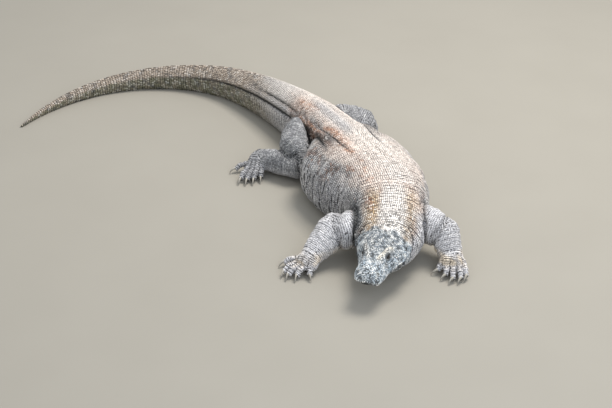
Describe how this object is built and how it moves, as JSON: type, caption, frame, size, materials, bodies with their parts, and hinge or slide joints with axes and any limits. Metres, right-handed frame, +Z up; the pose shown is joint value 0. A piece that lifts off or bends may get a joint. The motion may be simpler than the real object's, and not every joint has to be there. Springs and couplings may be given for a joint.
{
  "type": "komodo dragon",
  "caption": "Life-size still model of a komodo dragon resting flat on its belly, head forward, tail swept round to one side.",
  "frame": {"origin": "middle of the footprint, on the ground plane that the belly, limbs and tail lie on", "axes": "+Z up; the snout points towards -Y and a little towards -X; the tail sweeps back and then round towards -X"},
  "size_m": [1.5974, 1.5635, 0.2408],
  "materials": {
    "grey_hide": "dry beaded scales, grey",
    "tan_hide": "dry beaded scales, greyish tan",
    "horn": "smooth dull horn",
    "eye": "wet gloss, dark brown"
  },
  "bodies": {
    "root": {"head": "grey_hide", "lower_jaw": "grey_hide", "eye_left": "eye", "eye_right": "eye", "neck": "tan_hide", "trunk": "tan_hide", "tail_base": "grey_hide", "tail_middle": "grey_hide", "tail_rear": "grey_hide", "tail_tip": "grey_hide", "upper_arm_right": "grey_hide", "forearm_right": "grey_hide", "hand_right": "grey_hide", "thigh_right": "grey_hide", "shank_right": "grey_hide", "foot_right": "grey_hide", "upper_arm_left": "grey_hide", "forearm_left": "grey_hide", "hand_left": "grey_hide", "thigh_left": "grey_hide", "shank_left": "grey_hide", "foot_left": "grey_hide", "claw_hand_right_1": "horn", "claw_hand_right_2": "horn", "claw_hand_right_3": "horn", "claw_hand_right_4": "horn", "claw_hand_right_5": "horn", "claw_hand_left_1": "horn", "claw_hand_left_2": "horn", "claw_hand_left_3": "horn", "claw_hand_left_4": "horn", "claw_hand_left_5": "horn", "claw_foot_right_1": "horn", "claw_foot_right_2": "horn", "claw_foot_right_3": "horn", "claw_foot_right_4": "horn", "claw_foot_right_5": "horn", "claw_foot_left_1": "horn", "claw_foot_left_2": "horn", "claw_foot_left_3": "horn", "claw_foot_left_4": "horn", "claw_foot_left_5": "horn"}
  },
  "joints": []
}
